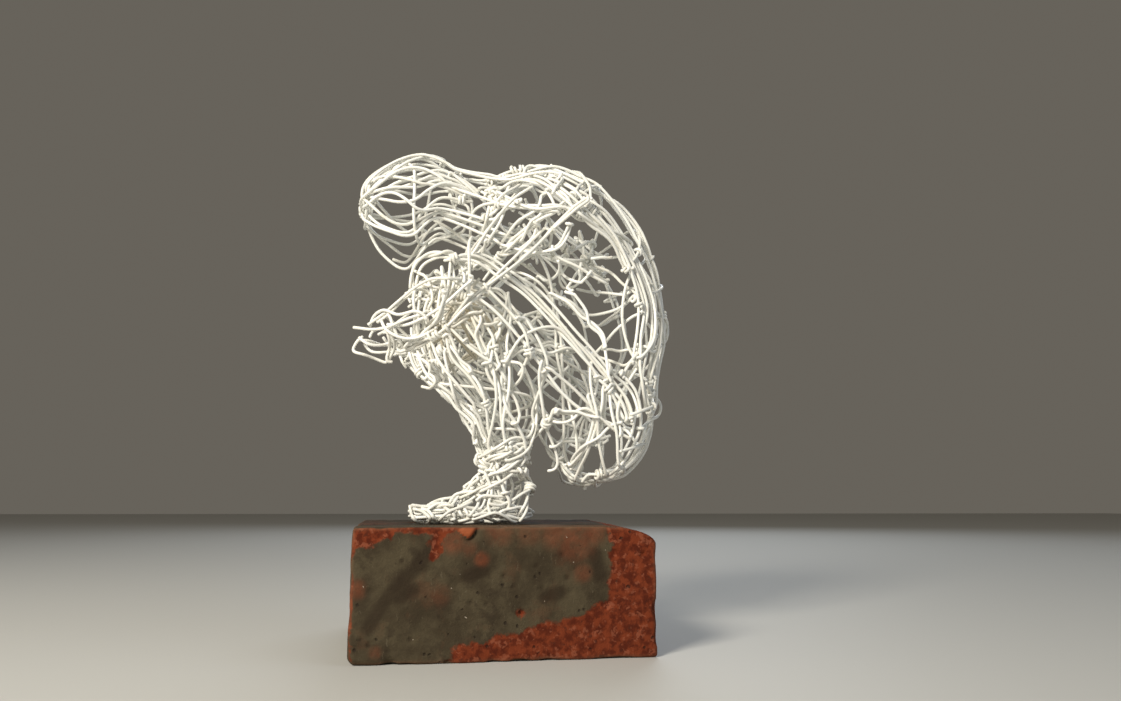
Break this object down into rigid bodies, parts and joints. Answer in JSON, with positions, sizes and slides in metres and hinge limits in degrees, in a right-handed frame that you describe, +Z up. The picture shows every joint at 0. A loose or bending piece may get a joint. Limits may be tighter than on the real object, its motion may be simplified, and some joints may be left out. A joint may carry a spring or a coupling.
{
  "type": "wire sculpture",
  "caption": "Crouching figure of bent and wound white wire, with bowed head and hanging hands, standing on a cut half brick.",
  "frame": {"origin": "middle of the brick's underside, where the sculpture stands", "axes": "+Z up, the figure faces -X, and -Y is the side seen in the picture"},
  "size_m": [0.1472, 0.1156, 0.2217],
  "materials": {
    "white_wire": "satin white wire coating, a little creamy in the hollows",
    "fired_brick": "matt fired clay, dark grey skin over rust red body, with pits and chips"
  },
  "bodies": {
    "root": {"wire_figure": "white_wire", "brick_plinth": "fired_brick"}
  },
  "joints": []
}
